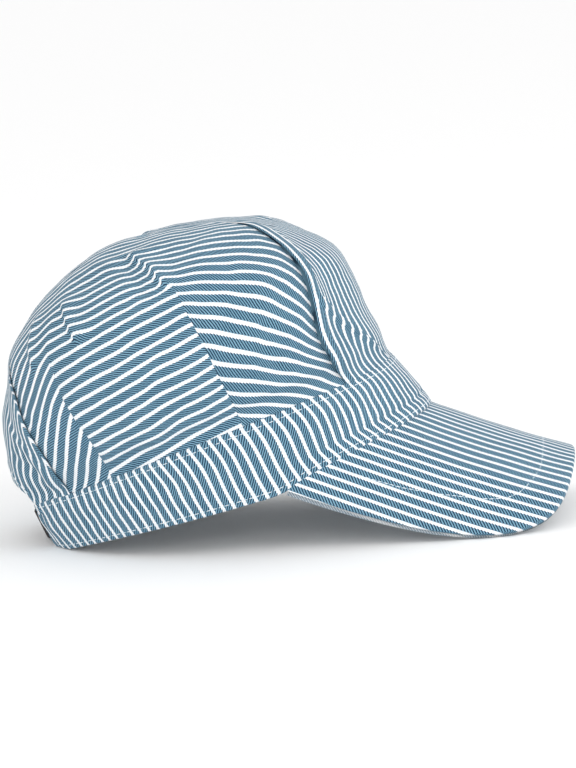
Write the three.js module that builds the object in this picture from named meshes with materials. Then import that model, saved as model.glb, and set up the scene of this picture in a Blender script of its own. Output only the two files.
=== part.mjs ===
// A railroad engineer cap of hickory-stripe cloth: a full crown with two front pleats and four darts,
// a band that is open at the back, a bent visor of two plies and a black strap across the opening.
// The pieces are drawn with the band level, and the whole cap is then pitched so that it rests
// on the visor's side edges and the back of the band. Lengths are in mm and angles in degrees.
// +Z is up, the visor points to -Y, and the wearer's right is at -X.

import * as THREE from 'three';

// Band: reaches are measured from the middle of the head at the lower edge.
const bandFront = 110;
const bandBack = 113;
const bandSide = 74;
const bandHeight = 33;
const bandWall = 2.2;
const bandLeanFront = 7.5;
const bandLeanBack = 1.9;
const bandLeanSide = 1.5;
const bandTopDip = 2.7;
const bandSideDip = 5.9;
const bandSideBow = 5;
const bandBackRise = 9.7;
const bandRoundness = 1.92;
const heelPress = 2.4;

// Crown
const crownHeight = 108.8;
const crownWall = 2;
const crownTuck = 6;
const archHalfWidth = 29;
const archHeight = 18;

// Pleats, darts and the gather behind each back panel
const pleatLift = 2.6;
const pleatReach = 16;
const dartDepth = 1.4;
const gatherLift = 2.4;
const gatherReach = 20;
const foldStep = 0.9;

// Visor
const visorLength = 80.5;
const visorPly = 1.7;
const visorDrop = 42.1;
const visorBend = 77.5;
const visorCorner = 74.2;
const visorCurl = 3.8;
const visorTuck = 7;
const visorBelowBand = 2.6;
const visorSquareness = 6.2;
const visorFullness = 0.52;

// Strap
const strapWidth = 15;
const strapWall = 1.2;
const strapBelowCrown = 0.6;
const strapTuck = 14;

// Clearances between neighbouring pieces, and under the band where it lies on the curved visor
const gap = 0.3;
const seamGap = 0.6;

// Crown sections from the band's top edge to the top of the crown. Rise is a share of the crown's
// height. Middle is how far back the widest place lies, ahead, behind and side are the reaches from
// there, all as shares of the band's top edge, and square is the oval's exponent over the band's.
const crownSections = [
  { rise: 0.000, middle: 0.000, ahead: 0.960, behind: 0.975, side: 0.960, square: 1.00 },
  { rise: 0.120, middle: 0.000, ahead: 0.975, behind: 0.991, side: 1.060, square: 1.08 },
  { rise: 0.270, middle: 0.000, ahead: 0.966, behind: 0.977, side: 1.130, square: 1.15 },
  { rise: 0.420, middle: 0.000, ahead: 0.964, behind: 0.931, side: 1.160, square: 1.15 },
  { rise: 0.570, middle: 0.017, ahead: 0.950, behind: 0.833, side: 1.125, square: 1.15 },
  { rise: 0.700, middle: 0.035, ahead: 0.863, behind: 0.748, side: 1.040, square: 1.15 },
  { rise: 0.810, middle: 0.061, ahead: 0.737, behind: 0.599, side: 0.900, square: 1.15 },
  { rise: 0.900, middle: 0.087, ahead: 0.581, behind: 0.417, side: 0.680, square: 1.15 },
  { rise: 0.965, middle: 0.113, ahead: 0.289, behind: 0.236, side: 0.440, square: 1.15 },
  { rise: 1.000, middle: 0.122, ahead: 0.000, behind: 0.000, side: 0.000, square: 1.15 },
];

// Lines on each half of the crown, as angles from the front, at shares of the way up.
const crownLines = [
  { up: 0.00, pleat: 39.2, sideDart: 77.2, backDart: 119.5, gather: 135.8 },
  { up: 0.10, pleat: 41.1, sideDart: 78.1, backDart: 118.3, gather: 136.0 },
  { up: 0.20, pleat: 42.0, sideDart: 79.2, backDart: 118.0, gather: 136.5 },
  { up: 0.30, pleat: 40.2, sideDart: 79.6, backDart: 120.8, gather: 141.2 },
  { up: 0.40, pleat: 36.7, sideDart: 79.4, backDart: 124.6, gather: 148.6 },
  { up: 0.50, pleat: 31.5, sideDart: 78.7, backDart: 126.8, gather: 160.0 },
  { up: 0.60, pleat: 24.6, sideDart: 77.2, backDart: 129.0, gather: 165.0 },
  { up: 0.72, pleat: 13.5, sideDart: 76.5, backDart: 130.0, gather: 167.0 },
  { up: 0.80, pleat: 8.0, sideDart: 76.0, backDart: 130.5, gather: 167.0 },
  { up: 1.00, pleat: 7.0, sideDart: 76.0, backDart: 131.0, gather: 167.0 },
];

// How far up each fold runs: full from its start to its fade, and gone at its end.
const foldSpans = {
  pleat: { start: 0.02, full: 0.08, fade: 0.62, end: 0.84 },
  sideDart: { start: 0.02, full: 0.08, fade: 0.5, end: 0.66 },
  backDart: { start: 0.02, full: 0.08, fade: 0.42, end: 0.54 },
  gather: { start: 0.02, full: 0.12, fade: 0.42, end: 0.58 },
};

// Mesh density
const crownRows = 22;
const panelSteps = { front: 4, side: 7, diagonal: 6, back: 4, centre: 4, arch: 5 };
const bandSteps = 72;
const bandRows = 3;
const visorSteps = 40;
const visorRows = 8;
const strapSteps = 14;

const radians = Math.PI / 180;
const clamp = (value, low, high) => Math.min(high, Math.max(low, value));
const mix = (a, b, share) => a + (b - a) * share;

function smooth(low, high, value) {
  const share = clamp((value - low) / (high - low), 0, 1);
  return share * share * (3 - 2 * share);
}

// Value of a spline through equally spaced numbers, with given numbers before and after them.
function splineThrough(numbers, before, after, share) {
  const points = [before, ...numbers, after];
  const place = clamp(share, 0, 1) * (numbers.length - 1);
  const index = Math.min(Math.floor(place), numbers.length - 2);
  const t = place - index;
  const [p0, p1, p2, p3] = points.slice(index, index + 4);
  const bend = 2 * p0 - 5 * p1 + 4 * p2 - p3;
  const twist = 3 * p1 - p0 - 3 * p2 + p3;
  return p1 + 0.5 * t * (p2 - p0 + t * (bend + t * twist));
}

// Point of an oval at an angle from the front towards the wearer's left.
function ovalPoint(angle, front, back, side, exponent, z) {
  const cosine = Math.cos(angle * radians);
  const sine = Math.sin(angle * radians);
  const along = Math.sign(cosine) * Math.abs(cosine) ** (2 / exponent);
  const across = Math.sign(sine) * Math.abs(sine) ** (2 / exponent);
  const reach = cosine > 0 ? front : back;
  return new THREE.Vector3(side * across, -reach * along, z);
}

// Band

function bandTopHeight(angle) {
  return bandHeight - bandTopDip * Math.cos(2 * angle * radians);
}

// The lower edge behind the visor: it rises to the back and bows up between its two ends.
function plainBottomHeight(angle) {
  const cosine = Math.cos(Math.max(angle, 90) * radians);
  const span = clamp((angle - visorCorner) / (bandEnd - visorCorner), 0, 1);
  return bandBackRise * cosine * cosine - bandSideDip + bandSideBow * Math.sin(Math.PI * span);
}

function bandReach(share, inset) {
  return {
    front: bandFront - bandLeanFront * share - inset,
    back: bandBack + bandLeanBack * share - inset,
    side: bandSide + bandLeanSide * share - inset,
  };
}

function bandPoint(angle, share, inset, z) {
  const { front, back, side } = bandReach(share, inset);
  return ovalPoint(angle, front, back, side, bandRoundness, z);
}

// Angle from the front at which the band's lower edge is a given distance to one side.
function bandAngleBehind(halfWidth) {
  const sine = (halfWidth / bandSide) ** (bandRoundness / 2);
  return 180 - Math.asin(sine) / radians;
}

const bandEnd = bandAngleBehind(archHalfWidth);

// Visor: a board bent round a straight line that falls forward from the band.

const cornerPoint = bandPoint(visorCorner, 0, 0, 0);
const visorRadius = cornerPoint.x / Math.sin(visorBend * radians);
const visorHalfArc = visorRadius * visorBend * radians;
const dropSine = Math.sin(visorDrop * radians);
const dropCosine = Math.cos(visorDrop * radians);

function visorPoint(arc, forward, depth) {
  const turn = arc / visorRadius;
  const curl = visorCurl * (Math.max(forward, 0) / visorLength) ** 2;
  const out = (visorRadius - depth) * Math.cos(turn) - visorRadius + curl;
  return new THREE.Vector3(
    (visorRadius - depth) * Math.sin(turn),
    -bandFront - forward * dropCosine - out * dropSine,
    -visorBelowBand - forward * dropSine + out * dropCosine,
  );
}

// How far forward along the board the band's wall stands, at an arc to one side.
function visorRoot(arc, inset) {
  const across = visorRadius * Math.sin(arc / visorRadius);
  const { front, side } = bandReach(0, inset);
  const sideShare = clamp(Math.abs(across) / side, 0, 1);
  const wallY = -front * (1 - sideShare ** bandRoundness) ** (1 / bandRoundness);
  const sag = visorRadius * (1 - Math.cos(arc / visorRadius));
  return (sag * dropSine - bandFront - wallY) / dropCosine;
}

const cornerRoot = visorRoot(visorHalfArc, 0);

// Arc and forward distance of the visor's outer edge at a place from one corner (-1) to the other (1).
// Places crowd towards the corners, where the edge turns down the side.
function visorEdge(place) {
  const crowding = 2.2;
  const share = 1 - (1 - Math.abs(place)) ** crowding;
  const reach = (1 - share ** visorSquareness) ** visorFullness;
  return { arc: Math.sign(place) * visorHalfArc * share, forward: mix(cornerRoot, visorLength, reach) };
}

function visorTopUnderBand(angle, inset) {
  const { side } = bandReach(0, inset);
  const across = side * Math.abs(Math.sin(angle * radians)) ** (2 / bandRoundness);
  const limit = visorRadius * Math.sin(visorBend * radians);
  const arc = visorRadius * Math.asin(Math.min(across, limit) / visorRadius);
  return visorPoint(arc, visorRoot(arc, inset), 0).z;
}

// The band's lower edge lies on the visor in front and blends into its plain run behind the corner.
function hangingBottomHeight(angle, inset) {
  const turn = Math.abs(angle);
  const blendAngle = 8;
  const onVisor = visorTopUnderBand(Math.min(turn, visorCorner), inset) + seamGap;
  return mix(onVisor, plainBottomHeight(turn), smooth(visorCorner, visorCorner + blendAngle, turn));
}

// Rest: the pitch that sets the visor's side edges and the band's back corners on one floor. The
// cloth at those corners is pressed flat by the floor.

function heightWhenPitched(point, pitch) {
  return point.z * Math.cos(pitch) - point.y * Math.sin(pitch);
}

function lowestOfVisor(pitch) {
  const heights = [];
  for (let place = 0; place < 1; place += 0.01) {
    const { arc, forward } = visorEdge(place);
    heights.push(heightWhenPitched(visorPoint(arc, forward, 2 * visorPly + gap), pitch));
  }
  return Math.min(...heights);
}

function restPitch() {
  const heel = bandPoint(bandEnd, 0, 0, hangingBottomHeight(bandEnd, 0));
  let low = 0;
  let high = 45 * radians;
  for (let step = 0; step < 40; step += 1) {
    const middle = (low + high) / 2;
    if (lowestOfVisor(middle) < heightWhenPitched(heel, middle) + heelPress) {
      low = middle;
    } else {
      high = middle;
    }
  }
  return low;
}

const pitch = restPitch();
const floorLevel = lowestOfVisor(pitch);

// Height of the band's lower edge, no lower than the floor that the pitched cap stands on.
function bandBottomHeight(angle, inset) {
  const { y } = bandPoint(angle, 0, inset, 0);
  const floor = (floorLevel + y * Math.sin(pitch)) / Math.cos(pitch);
  return Math.max(hangingBottomHeight(angle, inset), floor);
}

// Crown

const sectionKeys = ['rise', 'middle', 'ahead', 'behind', 'side', 'square'];
const sectionNumbers = Object.fromEntries(
  sectionKeys.map((key) => [key, crownSections.map((section) => section[key])]),
);

function sectionValue(key, up) {
  const numbers = sectionNumbers[key];
  const count = numbers.length;
  const before = 2 * numbers[0] - numbers[1];
  const after = key === 'rise' ? numbers[count - 2] : 2 * numbers[count - 1] - numbers[count - 2];
  return splineThrough(numbers, before, after, up);
}

function lineAngle(line, up) {
  const place = clamp(up, 0, 1);
  const next = clamp(crownLines.findIndex((row) => row.up >= place), 1, crownLines.length - 1);
  const [low, high] = [crownLines[next - 1], crownLines[next]];
  return mix(low[line], high[line], (place - low.up) / (high.up - low.up));
}

// Height share that stands for the crown's lowest row, which is tucked inside the band
const tuckedIn = -1;

// Point of the crown's plain form. Below the band's top edge it runs down inside the band.
function crownPoint(angle, up) {
  const bandTop = bandTopHeight(angle);
  const inside = bandReach(1, bandWall + gap);
  const top = bandReach(1, 0);
  const climb = Math.max(up, 0);
  const free = smooth(0, 1 / (crownSections.length - 1), climb);
  const front = mix(inside.front, top.front * sectionValue('ahead', climb), free);
  const back = mix(inside.back, top.back * sectionValue('behind', climb), free);
  const side = mix(inside.side, top.side * sectionValue('side', climb), free);
  const exponent = bandRoundness * sectionValue('square', climb);
  const z = bandTop + (bandHeight + crownHeight - bandTop) * sectionValue('rise', climb);
  const point = ovalPoint(angle, front, back, side, exponent, z);
  point.y += top.back * sectionValue('middle', climb);
  if (up >= 0) {
    return point;
  }
  const share = 1 - crownTuck / bandHeight;
  return bandPoint(angle, share, bandWall + gap, bandTop - crownTuck);
}

function crownNormal(angle, up) {
  const stepAngle = 0.5;
  const stepUp = 0.004;
  const low = clamp(up, 0, 0.985 - stepUp);
  const around = crownPoint(angle + stepAngle, low).sub(crownPoint(angle - stepAngle, low));
  const climb = crownPoint(angle, low + stepUp).sub(crownPoint(angle, Math.max(low - stepUp, 0)));
  const normal = around.cross(climb).normalize();
  const polar = smooth(0.93, 1, up);
  return normal.lerp(new THREE.Vector3(0, 0, 1), polar).normalize();
}

function foldStrength(line, up) {
  const span = foldSpans[line];
  return smooth(span.start, span.full, up) * (1 - smooth(span.fade, span.end, up));
}

// Distance in mm from a line, positive towards the back.
function distanceFrom(line, angle, up) {
  const at = lineAngle(line, up);
  const away = crownPoint(angle, up).distanceTo(crownPoint(at, up));
  return Math.sign(angle - at) * away;
}

// Height of the folds over the plain form. A pleat lies over the side panel, and each gather
// lies over the back panel; a dart is a shallow valley.
function foldHeight(angle, up) {
  const turn = Math.abs(angle);
  const fromPleat = -distanceFrom('pleat', turn, up);
  const fromGather = distanceFrom('gather', turn, up);
  const pleat = fromPleat < 0 ? 0 : mix(1, 0.2, smooth(0, pleatReach, fromPleat));
  const gather = fromGather < 0 ? 0 : mix(1, 0.1, smooth(0, gatherReach, fromGather));
  const dartWidth = 5;
  const dartShare = (line) => {
    const away = Math.abs(distanceFrom(line, turn, up));
    return foldStrength(line, up) * (1 - smooth(0, dartWidth, away));
  };
  return (
    pleatLift * pleat * foldStrength('pleat', up) +
    gatherLift * gather * foldStrength('gather', up) -
    dartDepth * (dartShare('sideDart') + dartShare('backDart'))
  );
}

function crownOuter(angle, up) {
  return crownPoint(angle, up).addScaledVector(crownNormal(angle, up), foldHeight(angle, up));
}

function crownInner(angle, up) {
  if (up < 0) {
    const share = 1 - crownTuck / bandHeight;
    return bandPoint(angle, share, bandWall + gap + crownWall, bandTopHeight(angle) - crownTuck);
  }
  const side = crownPoint(angle, up);
  const normal = crownNormal(angle, up);
  const level = 1 - smooth(0, 0.1, up);
  normal.z *= 1 - level;
  return side.addScaledVector(normal.normalize(), -crownWall);
}

// Share of the way up at which the crown stands a given height over the band's top edge.
function upAtHeight(height) {
  let low = 0;
  let high = 1;
  for (let step = 0; step < 30; step += 1) {
    const middle = (low + high) / 2;
    if (crownHeight * sectionValue('rise', middle) < height) {
      low = middle;
    } else {
      high = middle;
    }
  }
  return low;
}

// Columns of one half of the crown, from the front to the back: each gives its angle at a height
// share. The pleat and the gather each have a second column, one step on the lower side of the fold.
function crownColumns() {
  const lines = ['pleat', 'sideDart', 'backDart', 'gather'];
  const steps = [panelSteps.front, panelSteps.side, panelSteps.diagonal, panelSteps.back];
  const stepAngle = (up) => (foldStep / (bandSide * radians)) * mix(1, 3, smooth(0.6, 1, up));
  const columns = [() => 0];
  lines.forEach((line, index) => {
    const start = (up) => (index === 0 ? 0 : lineAngle(lines[index - 1], up));
    const end = (up) => lineAngle(line, up);
    for (let step = 1; step < steps[index]; step += 1) {
      columns.push((up) => mix(start(up), end(up), step / steps[index]));
    }
    if (line === 'gather') {
      columns.push((up) => end(up) - stepAngle(up));
    }
    columns.push(end);
    if (line === 'pleat') {
      columns.push((up) => end(up) + stepAngle(up));
    }
  });
  const gather = (up) => lineAngle('gather', up);
  for (let step = 1; step <= panelSteps.centre; step += 1) {
    columns.push((up) => mix(gather(up), besideArch(up), step / panelSteps.centre));
  }
  const archStart = columns.length - 1;
  for (let step = 1; step <= panelSteps.arch; step += 1) {
    const share = 1 - Math.cos((step / panelSteps.arch) * 90 * radians);
    columns.push((up) => mix(besideArch(up), 180, share));
  }
  return { columns, archStart };
}

// The column beside the arch leans towards the back above the gather, so that columns never cross.
function besideArch(up) {
  return mix(bandEnd, 172, smooth(0.15, 0.5, up));
}

// The arch at the back: height of the crown's lower edge over the band's top edge.
function archEdge(angle) {
  const across = Math.abs(bandPoint(angle, 1, 0, 0).x) / archHalfWidth;
  return archHeight * Math.sqrt(clamp(1 - across * across, 0, 1));
}

// Solids

// Closed body between two grids of points, given as columns of equal length.
function bodyBetween(outer, inner, wraps) {
  const positions = [];
  const indices = [];
  const known = new Map();
  const vertex = (point) => {
    const key = [point.x, point.y, point.z].map((value) => Math.round(value * 1e4)).join(',');
    if (!known.has(key)) {
      known.set(key, positions.length / 3);
      positions.push(point.x, point.y, point.z);
    }
    return known.get(key);
  };
  const triangle = (a, b, c) => {
    if (a !== b && b !== c && a !== c) {
      indices.push(a, b, c);
    }
  };
  const quad = (a, b, c, d) => {
    const corners = [a, b, c, d].map(vertex);
    triangle(corners[0], corners[1], corners[2]);
    triangle(corners[0], corners[2], corners[3]);
  };
  const columns = outer.length;
  const rows = outer[0].length;
  for (let i = 0; i < (wraps ? columns : columns - 1); i += 1) {
    const next = (i + 1) % columns;
    for (let j = 0; j < rows - 1; j += 1) {
      quad(outer[i][j], outer[next][j], outer[next][j + 1], outer[i][j + 1]);
      quad(inner[i][j], inner[i][j + 1], inner[next][j + 1], inner[next][j]);
    }
    quad(inner[i][0], inner[next][0], outer[next][0], outer[i][0]);
    const last = rows - 1;
    quad(outer[i][last], outer[next][last], inner[next][last], inner[i][last]);
  }
  if (!wraps) {
    for (let j = 0; j < rows - 1; j += 1) {
      const end = columns - 1;
      quad(inner[0][j], outer[0][j], outer[0][j + 1], inner[0][j + 1]);
      quad(outer[end][j], inner[end][j], inner[end][j + 1], outer[end][j + 1]);
    }
  }
  const geometry = new THREE.BufferGeometry();
  geometry.setAttribute('position', new THREE.Float32BufferAttribute(positions, 3));
  geometry.setIndex(indices);
  geometry.computeVertexNormals();
  return geometry;
}

function grid(columnCount, rowCount, pointAt) {
  return Array.from({ length: columnCount }, (_, i) =>
    Array.from({ length: rowCount }, (__, j) => pointAt(i / (columnCount - 1), j / (rowCount - 1))));
}

function crownGeometry() {
  const { columns, archStart } = crownColumns();
  const half = columns.length - 1;
  const count = 2 * half;
  const outer = [];
  const inner = [];
  for (let i = 0; i < count; i += 1) {
    const side = i <= half ? 1 : -1;
    const index = i <= half ? i : count - i;
    const column = columns[index];
    const inArch = index > archStart;
    const low = inArch ? upAtHeight(archEdge(column(0))) : 0;
    const ups = Array.from({ length: crownRows + 1 }, (_, row) => mix(low, 1, row / crownRows));
    const edge = inArch ? [low, mix(low, ups[1], 0.5)] : [tuckedIn, low];
    const heights = [...edge, ...ups.slice(1)];
    outer.push(heights.map((up) => crownOuter(side * column(Math.max(up, 0)), up)));
    inner.push(heights.map((up) => crownInner(side * column(Math.max(up, 0)), up)));
  }
  return bodyBetween(outer, inner, true);
}

function bandGeometry() {
  const wall = (inset) => grid(bandSteps + 1, bandRows + 1, (around, share) => {
    const angle = mix(-bandEnd, bandEnd, around);
    const z = mix(bandBottomHeight(angle, inset), bandTopHeight(angle), share);
    return bandPoint(angle, share, inset, z);
  });
  return bodyBetween(wall(0), wall(bandWall), false);
}

function visorGeometry(top, bottom) {
  const face = (depth) => grid(visorSteps + 1, visorRows + 1, (around, share) => {
    const { arc, forward } = visorEdge(mix(1, -1, around));
    const tuck = visorTuck * (1 - (arc / visorHalfArc) ** 4);
    const root = visorRoot(arc, 0) - tuck;
    return visorPoint(arc, mix(root, forward, share), depth);
  });
  return bodyBetween(face(top), face(bottom), false);
}

function strapGeometry() {
  const tuckAngle = strapTuck / (bandSide * radians);
  const start = bandEnd - tuckAngle;
  const top = bandTopHeight(180) - crownTuck - strapBelowCrown;
  const face = (inset) => grid(strapSteps + 1, 2, (around, share) => {
    const angle = mix(start, 360 - start, around);
    const z = top - strapWidth * (1 - share);
    return bandPoint(angle, z / bandHeight, inset, z);
  });
  return bodyBetween(face(bandWall + gap), face(bandWall + gap + strapWall), false);
}

// Materials

const stripedCloth = () => new THREE.MeshStandardMaterial({ color: 0x8fa9bc, roughness: 0.95 });
const undersideCloth = () => new THREE.MeshStandardMaterial({ color: 0xa9b4bb, roughness: 0.95 });
const blackWebbing = () => new THREE.MeshStandardMaterial({ color: 0x1d1b1e, roughness: 0.8 });

// Assembly

const pieces = [
  ['crown', crownGeometry(), stripedCloth()],
  ['band', bandGeometry(), stripedCloth()],
  ['visor_top', visorGeometry(0, visorPly), stripedCloth()],
  ['visor_underside', visorGeometry(visorPly + gap, 2 * visorPly + gap), undersideCloth()],
  ['back_strap', strapGeometry(), blackWebbing()],
];

const cap = new THREE.Group();
for (const [name, geometry, material] of pieces) {
  const mesh = new THREE.Mesh(geometry, material);
  mesh.name = name;
  cap.add(mesh);
}
cap.rotation.x = -pitch;
cap.updateMatrixWorld(true);

// Origin under the middle of the cap's box, on the surface that it stands on
const box = new THREE.Box3().setFromObject(cap, true);
cap.position.set(-(box.min.x + box.max.x) / 2, -(box.min.y + box.max.y) / 2, -box.min.z);

const standing = new THREE.Group();
standing.add(cap);
standing.updateMatrixWorld(true);

export default standing;
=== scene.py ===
from math import asin, cos, degrees, exp, pi, radians, sin, sqrt

import bpy
import numpy as np
from mathutils import Matrix, Vector


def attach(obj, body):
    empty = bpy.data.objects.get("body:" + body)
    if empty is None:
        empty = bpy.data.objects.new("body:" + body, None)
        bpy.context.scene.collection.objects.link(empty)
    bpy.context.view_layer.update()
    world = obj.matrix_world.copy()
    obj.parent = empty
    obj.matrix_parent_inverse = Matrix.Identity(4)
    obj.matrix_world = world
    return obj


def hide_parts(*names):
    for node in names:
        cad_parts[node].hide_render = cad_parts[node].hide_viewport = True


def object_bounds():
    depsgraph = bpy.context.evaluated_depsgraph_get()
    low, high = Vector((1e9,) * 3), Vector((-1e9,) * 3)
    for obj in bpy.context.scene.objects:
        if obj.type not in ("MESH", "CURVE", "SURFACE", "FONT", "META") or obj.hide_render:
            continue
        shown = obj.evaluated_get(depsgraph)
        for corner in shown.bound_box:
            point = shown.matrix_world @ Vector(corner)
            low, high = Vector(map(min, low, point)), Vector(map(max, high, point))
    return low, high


# A railroad engineer cap of hickory-stripe twill. The cap is drawn in mm with its band level, in the
# same terms as the CAD part, then pitched to its rest and scaled to metres. Angles are in degrees from
# the front. The wearer's right, which the photograph shows, is at -X.

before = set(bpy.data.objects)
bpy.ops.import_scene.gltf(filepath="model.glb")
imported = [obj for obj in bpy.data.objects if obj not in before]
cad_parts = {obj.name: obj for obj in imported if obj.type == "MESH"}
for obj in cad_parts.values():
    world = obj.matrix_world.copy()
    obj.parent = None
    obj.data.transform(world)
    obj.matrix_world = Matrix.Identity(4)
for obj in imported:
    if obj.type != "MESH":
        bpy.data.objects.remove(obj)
cad_low, cad_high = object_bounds()
MM = 0.001
TINY = 1e-9
Z_AXIS = np.array([0, 0, 1.0])
LEVEL = np.array([1.0, 1.0, 0])

# Band
BAND_FRONT = 110.0
BAND_BACK = 113.0
BAND_SIDE = 74.0
BAND_HEIGHT = 33.0
BAND_WALL = 2.2
BAND_LEAN_FRONT = 9.6
BAND_LEAN_BACK = 1.9
BAND_LEAN_SIDE = 1.5
BAND_TOP_DIP = 2.7
BAND_SIDE_DIP = 5.9
BAND_SIDE_BOW = 5.0
BAND_BACK_RISE = 9.7
BAND_ROUNDNESS = 1.92
HEEL_PRESS = 2.4

# Crown
CROWN_HEIGHT = 108.8
CROWN_WALL = 1.6
CROWN_TUCK = 6.0
CROWN_INSET = 1.0
ARCH_HALF_WIDTH = 29.0
ARCH_HEIGHT = 18.0

# Visor
VISOR_LENGTH = 80.5
VISOR_PLY = 1.7
VISOR_DROP = 42.1
VISOR_BEND = 77.5
VISOR_CORNER = 74.2
VISOR_CURL = 3.8
VISOR_BELOW_BAND = 2.6
VISOR_SQUARENESS = 6.2
VISOR_FULLNESS = 0.52
VISOR_TUCK = 6.0
CORNER_BLEND = 8.0
GAP = 0.3
SEAM_GAP = 0.6
VISOR_MIDDLE = VISOR_PLY + GAP / 2
VISOR_DEPTH = 2 * VISOR_MIDDLE

# Strap
STRAP_WIDTH = 15.0
STRAP_WALL = 1.2
STRAP_BELOW_CROWN = 0.6
STRAP_TUCK = 14.0

# Crown sections from the band's top edge up: rise as a share of the crown's height, how far back the
# widest place lies, reaches ahead, behind and to the side of it, and the oval's exponent over the band's.
SECTIONS = np.array([
    [0.000, 0.000, 0.960, 0.975, 0.960, 1.00],
    [0.120, 0.000, 0.985, 0.991, 1.060, 1.08],
    [0.270, 0.000, 0.968, 0.975, 1.130, 1.15],
    [0.420, 0.000, 0.966, 0.929, 1.160, 1.15],
    [0.570, 0.017, 0.954, 0.831, 1.125, 1.15],
    [0.700, 0.035, 0.862, 0.746, 1.040, 1.15],
    [0.810, 0.061, 0.737, 0.599, 0.900, 1.15],
    [0.900, 0.087, 0.581, 0.417, 0.680, 1.15],
    [0.965, 0.113, 0.289, 0.236, 0.440, 1.15],
    [1.000, 0.122, 0.000, 0.000, 0.000, 1.15],
])

# Lines on each half of the crown: height share, then the angles of the pleat, side dart, back dart
# and gather.
LINES = np.array([
    [0.00, 39.2, 77.2, 119.5, 135.8],
    [0.10, 41.1, 78.1, 118.3, 136.0],
    [0.20, 42.0, 79.2, 118.0, 136.5],
    [0.30, 40.2, 79.6, 120.8, 141.2],
    [0.40, 36.7, 79.4, 124.6, 148.6],
    [0.50, 31.5, 78.7, 126.8, 160.0],
    [0.60, 24.6, 77.2, 129.0, 165.0],
    [0.72, 13.5, 76.5, 130.0, 167.0],
    [0.80, 8.0, 76.0, 130.5, 167.0],
    [1.00, 7.0, 76.0, 131.0, 167.0],
])
PLEAT, SIDE_DART, BACK_DART, GATHER = 1, 2, 3, 4

# How far up each line parts the cloth
OPEN_TO = {PLEAT: 0.80, SIDE_DART: 0.63, BACK_DART: 0.51, GATHER: 0.56}

# The crease across each half of the front: height share at places from the centre line to the pleat
CREASE_SHARES = [0.0, 0.15, 0.27, 0.48, 0.69, 0.90, 1.0]
CREASE_HEIGHTS = [0.0, 0.0, 0.051, 0.136, 0.232, 0.318, 0.355]

# The strip of cloth along the pleat's fold: its width in mm up the crown
STRIP_HEIGHTS = [0.0, 0.42, 0.47, 0.53, 0.60, 0.66, 0.80, 1.0]
STRIP_WIDTHS = [5.0, 5.0, 5.6, 7.0, 8.6, 8.6, 0.0, 0.0]
STRIP_JOINED_TO = 0.42

# Direction of the stripes on the crown, in degrees from level towards the back and up, at places
# across each panel (rows of heights, low to high).
STRIPE_HEIGHTS = [0.0, 0.15, 0.3, 0.45, 0.6, 0.75, 0.9]
STRIPE_WAY = {
    "front": [[75, 68, 64, 66, 70], [88, 84, 86, 90, 92], [90, 90, 94, 104, 110], [92, 106, 118, 122, 114],
              [95, 112, 124, 130, 118], [92, 102, 110, 114, 112], [90, 95, 95, 95, 95]],
    "low_front": [[60, 60, 58, 60, 70], [85, 85, 92, 86, 78], [110, 112, 115, 112, 96]]
                 + [[110, 112, 115, 112, 100]] * 4,
    "side": [[40, 24, 24], [46, 28, 26], [68, 40, 30], [78, 42, 28], [70, 34, 26], [44, 24, 20],
             [30, 18, 8]],
    "diagonal": [[-1, -9, -12], [-6, -9, -13], [-7, -8, -14], [-7, -8, -18], [-4, -9, -13],
                 [-8, -12, -6], [-6, -10, -20]],
    "back": [[-50, -48, -50], [-50, -50, -50], [-50, -55, -55], [-42, -54, -50], [-30, -46, -56],
             [-28, -44, -60], [-34, -48, -66]],
    "rear": [[-80, -74, -74, -82, -90], [-60, -48, -55, -75, -90], [-60, -48, -55, -75, -90],
             [-66, -62, -70, -80, -90], [-70, -75, -80, -85, -90], [-72, -77, -82, -86, -90],
             [-74, -79, -84, -87, -90]],
}
CROWN_PITCH = 6.2
BAND_PITCH = 5.5
VISOR_PITCH = 5.0

# U of the pleat's fold, so that a white stripe runs just beside it
FOLD_STRIPE = 12.5
FOLD_WHITE_INSET = 0.85
FOLD_U = FOLD_STRIPE * CROWN_PITCH + FOLD_WHITE_INSET


def smooth(low, high, value):
    share = np.clip((np.asarray(value, float) - low) / (high - low), 0, 1)
    return share * share * (3 - 2 * share)


def mix(a, b, share):
    return a + (b - a) * share


def dot(a, b):
    return (a * b).sum(-1)


def norm(vectors):
    return np.linalg.norm(vectors, axis=-1)


def unit(vectors):
    return vectors / (norm(vectors)[..., None] + TINY)


def between(grid, across, rows):
    """Values of a grid between its places, by linear steps both ways."""
    i = np.minimum(across.astype(int), grid.shape[0] - 2)
    j = np.minimum(rows.astype(int), grid.shape[1] - 2)
    low = mix(grid[i, j], grid[i + 1, j], across - i)
    high = mix(grid[i, j + 1], grid[i + 1, j + 1], across - i)
    return mix(low, high, rows - j)


def spline_rows(table, up):
    """Rows of a table at shares of its length, along a spline through the rows."""
    before = 2 * table[0] - table[1]
    after = 2 * table[-1] - table[-2]
    after[0] = table[-2][0]
    rows = np.vstack([before, table, after])
    place = np.clip(up, 0, 1) * (len(table) - 1)
    k = np.minimum(place.astype(int), len(table) - 2)
    t = (place - k)[..., None]
    p0, p1, p2, p3 = rows[k], rows[k + 1], rows[k + 2], rows[k + 3]
    bend = 2 * p0 - 5 * p1 + 4 * p2 - p3
    return p1 + 0.5 * t * (p2 - p0 + t * (bend + t * (3 * p1 - p0 - 3 * p2 + p3)))


def oval(angle, front, back, side, exponent, z):
    turn = np.radians(angle)
    cosine, sine = np.cos(turn), np.sin(turn)
    along = np.sign(cosine) * np.abs(cosine) ** (2 / exponent)
    across = np.sign(sine) * np.abs(sine) ** (2 / exponent)
    reach = np.where(cosine > 0, front, back)
    return np.stack(np.broadcast_arrays(side * across, -reach * along, z), -1).astype(float)


# Band and visor in terms of the CAD part

def band_top(angle):
    return BAND_HEIGHT - BAND_TOP_DIP * np.cos(2 * np.radians(angle))


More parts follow.
